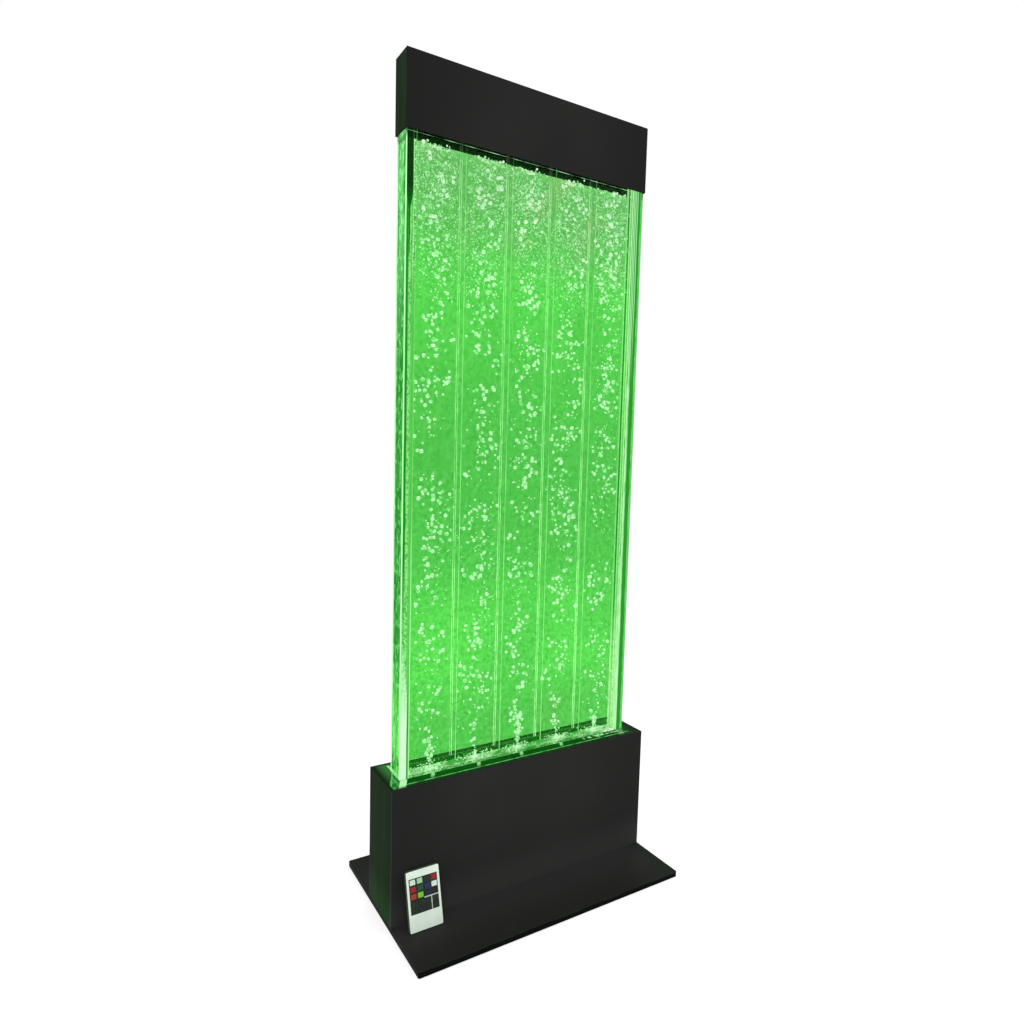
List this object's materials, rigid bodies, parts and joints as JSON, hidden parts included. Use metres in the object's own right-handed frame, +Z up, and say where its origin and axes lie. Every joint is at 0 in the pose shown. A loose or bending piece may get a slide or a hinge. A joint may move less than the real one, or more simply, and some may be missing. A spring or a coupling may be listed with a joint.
{
  "type": "bubble wall",
  "caption": "Free-standing floor lamp: a tall thin clear water tank with air cells, lit green, in a black plinth on a base plate, with a lift-off cap and a card remote.",
  "frame": {"origin": "bottom centre of the pads under the base plate", "axes": "+Z up, front of the plinth at -Y, width along X"},
  "size_m": [0.452, 0.282, 1.2],
  "materials": {
    "black_plate": "satin black, dark green tint",
    "pad": "matte",
    "screw": "plain",
    "post": "mill",
    "plinth_panel": "satin black",
    "plinth_top_panel": "mirror gloss black",
    "shelf": "plain",
    "clear_sheet": "polished clear acrylic, lit green",
    "clear_bar": "polished clear acrylic, lit green",
    "clear_divider": "polished clear acrylic, lit green",
    "floor_block": "clear acrylic, lit from below",
    "nozzle": "frosted white",
    "led_channel": "mill",
    "led": "lit green",
    "manifold": "translucent white",
    "hose": "clear soft tube",
    "pump_plastic": "black",
    "pump_coil": "laminated core with copper winding",
    "pump_chamber": "white",
    "bellows": "black",
    "arm": "plain",
    "board": "green circuit board",
    "lead": "black",
    "inlet": "black",
    "switch": "black",
    "valve": "polished",
    "lever": "red",
    "cap": "satin black",
    "remote_case": "white",
    "remote_panel": "black",
    "remote_board": "green circuit board",
    "coin": "plain",
    "key_white": "white",
    "key_mint": "pale green",
    "key_grey": "dark grey",
    "key_red": "red",
    "key_green": "green",
    "key_blue": "blue",
    "key_orange": "orange red",
    "key_light_green": "light green",
    "key_navy": "dark blue",
    "key_black": "black"
  },
  "bodies": {
    "stand": {"base_plate": "black_plate", "base_pads": "pad", "base_screws": "screw", "corner_posts": "post", "plinth_front": "plinth_panel", "plinth_back": "plinth_panel", "plinth_ends": "plinth_panel", "plinth_top": "plinth_top_panel", "tank_shelf": "shelf", "tank_front_sheet": "clear_sheet", "tank_back_sheet": "clear_sheet", "tank_side_bars": "clear_bar", "tank_dividers": "clear_divider", "tank_floor": "floor_block", "air_nozzles": "nozzle", "led_channel": "led_channel", "led_strips": "led", "air_manifold": "manifold", "air_hoses": "hose", "pump_case": "pump_plastic", "pump_lid": "pump_plastic", "pump_coil": "pump_coil", "pump_chamber": "pump_chamber", "pump_bellows": "bellows", "control_board": "board", "wiring": "lead", "dc_inlet": "inlet", "switch_housing": "switch", "drain_valve": "valve", "drain_hose": "hose"},
    "cap": {"top_cap": "cap"},
    "rocker": {"switch_rocker": "switch"},
    "valve_lever": {"drain_lever": "lever"},
    "arm": {"pump_arm": "arm"},
    "remote": {"remote_back_case": "remote_case", "remote_front_case": "remote_case", "remote_key_panel": "remote_panel", "remote_board": "remote_board"},
    "tray": {"battery_tray": "remote_case", "coin_cell": "coin"},
    "key_row1_col1": {"key_row1_col1": "key_white"},
    "key_row1_col2": {"key_row1_col2": "key_mint"},
    "key_row1_col3": {"key_row1_col3": "key_grey"},
    "key_row1_col4": {"key_row1_col4": "key_red"},
    "key_row2_col1": {"key_row2_col1": "key_red"},
    "key_row2_col2": {"key_row2_col2": "key_green"},
    "key_row2_col3": {"key_row2_col3": "key_blue"},
    "key_row2_col4": {"key_row2_col4": "key_white"},
    "key_row3_col1": {"key_row3_col1": "key_orange"},
    "key_row3_col2": {"key_row3_col2": "key_light_green"},
    "key_row3_col3": {"key_row3_col3": "key_navy"},
    "key_row3_col4": {"key_row3_col4": "key_black"},
    "key_row4_col1": {"key_row4_col1": "key_grey"},
    "key_row4_col2": {"key_row4_col2": "key_grey"},
    "key_row4_col3": {"key_row4_col3": "key_grey"},
    "key_row4_col4": {"key_row4_col4": "key_grey"},
    "key_row5_col1": {"key_row5_col1": "key_grey"},
    "key_row5_col2": {"key_row5_col2": "key_grey"},
    "key_row5_col3": {"key_row5_col3": "key_grey"},
    "key_row5_col4": {"key_row5_col4": "key_grey"}
  },
  "joints": [
    {"name": "cap_lift", "type": "slide", "parent": "stand", "child": "cap", "axis": [0, 0, 1], "range_m": [0, 0.15]},
    {"name": "rocker_tilt", "type": "hinge", "parent": "stand", "child": "rocker", "pos_m": [-0.13, 0.043, 0.04], "axis": [1, 0, 0], "range_deg": [-16, 0]},
    {"name": "drain_turn", "type": "hinge", "parent": "stand", "child": "valve_lever", "pos_m": [0.176, 0.059, 0.04], "axis": [0, 0, 1], "range_deg": [-90, 0]},
    {"name": "arm_swing", "type": "hinge", "parent": "stand", "child": "arm", "pos_m": [-0.008, -0.022, 0.033], "axis": [0, 0, 1], "range_deg": [-2.5, 2.5], "stiffness_Nm_per_rad": 1, "deforming": ["pump_bellows"]},
    {"name": "remote_lift", "type": "slide", "parent": "stand", "child": "remote", "axis": [0, -0.5, 0.866], "range_m": [0, 0.25]},
    {"name": "tray_slide", "type": "slide", "parent": "remote", "child": "tray", "axis": [1, 0, 0], "range_m": [0, 0.03]},
    {"name": "press_row1_col1", "type": "slide", "parent": "remote", "child": "key_row1_col1", "axis": [0, 0.9659, -0.2588], "range_m": [0, 0.0006], "stiffness_N_per_m": 2000},
    {"name": "press_row1_col2", "type": "slide", "parent": "remote", "child": "key_row1_col2", "axis": [0, 0.9659, -0.2588], "range_m": [0, 0.0006], "stiffness_N_per_m": 2000},
    {"name": "press_row1_col3", "type": "slide", "parent": "remote", "child": "key_row1_col3", "axis": [0, 0.9659, -0.2588], "range_m": [0, 0.0006], "stiffness_N_per_m": 2000},
    {"name": "press_row1_col4", "type": "slide", "parent": "remote", "child": "key_row1_col4", "axis": [0, 0.9659, -0.2588], "range_m": [0, 0.0006], "stiffness_N_per_m": 2000},
    {"name": "press_row2_col1", "type": "slide", "parent": "remote", "child": "key_row2_col1", "axis": [0, 0.9659, -0.2588], "range_m": [0, 0.0006], "stiffness_N_per_m": 2000},
    {"name": "press_row2_col2", "type": "slide", "parent": "remote", "child": "key_row2_col2", "axis": [0, 0.9659, -0.2588], "range_m": [0, 0.0006], "stiffness_N_per_m": 2000},
    {"name": "press_row2_col3", "type": "slide", "parent": "remote", "child": "key_row2_col3", "axis": [0, 0.9659, -0.2588], "range_m": [0, 0.0006], "stiffness_N_per_m": 2000},
    {"name": "press_row2_col4", "type": "slide", "parent": "remote", "child": "key_row2_col4", "axis": [0, 0.9659, -0.2588], "range_m": [0, 0.0006], "stiffness_N_per_m": 2000},
    {"name": "press_row3_col1", "type": "slide", "parent": "remote", "child": "key_row3_col1", "axis": [0, 0.9659, -0.2588], "range_m": [0, 0.0006], "stiffness_N_per_m": 2000},
    {"name": "press_row3_col2", "type": "slide", "parent": "remote", "child": "key_row3_col2", "axis": [0, 0.9659, -0.2588], "range_m": [0, 0.0006], "stiffness_N_per_m": 2000},
    {"name": "press_row3_col3", "type": "slide", "parent": "remote", "child": "key_row3_col3", "axis": [0, 0.9659, -0.2588], "range_m": [0, 0.0006], "stiffness_N_per_m": 2000},
    {"name": "press_row3_col4", "type": "slide", "parent": "remote", "child": "key_row3_col4", "axis": [0, 0.9659, -0.2588], "range_m": [0, 0.0006], "stiffness_N_per_m": 2000},
    {"name": "press_row4_col1", "type": "slide", "parent": "remote", "child": "key_row4_col1", "axis": [0, 0.9659, -0.2588], "range_m": [0, 0.0006], "stiffness_N_per_m": 2000},
    {"name": "press_row4_col2", "type": "slide", "parent": "remote", "child": "key_row4_col2", "axis": [0, 0.9659, -0.2588], "range_m": [0, 0.0006], "stiffness_N_per_m": 2000},
    {"name": "press_row4_col3", "type": "slide", "parent": "remote", "child": "key_row4_col3", "axis": [0, 0.9659, -0.2588], "range_m": [0, 0.0006], "stiffness_N_per_m": 2000},
    {"name": "press_row4_col4", "type": "slide", "parent": "remote", "child": "key_row4_col4", "axis": [0, 0.9659, -0.2588], "range_m": [0, 0.0006], "stiffness_N_per_m": 2000},
    {"name": "press_row5_col1", "type": "slide", "parent": "remote", "child": "key_row5_col1", "axis": [0, 0.9659, -0.2588], "range_m": [0, 0.0006], "stiffness_N_per_m": 2000},
    {"name": "press_row5_col2", "type": "slide", "parent": "remote", "child": "key_row5_col2", "axis": [0, 0.9659, -0.2588], "range_m": [0, 0.0006], "stiffness_N_per_m": 2000},
    {"name": "press_row5_col3", "type": "slide", "parent": "remote", "child": "key_row5_col3", "axis": [0, 0.9659, -0.2588], "range_m": [0, 0.0006], "stiffness_N_per_m": 2000},
    {"name": "press_row5_col4", "type": "slide", "parent": "remote", "child": "key_row5_col4", "axis": [0, 0.9659, -0.2588], "range_m": [0, 0.0006], "stiffness_N_per_m": 2000}
  ]
}
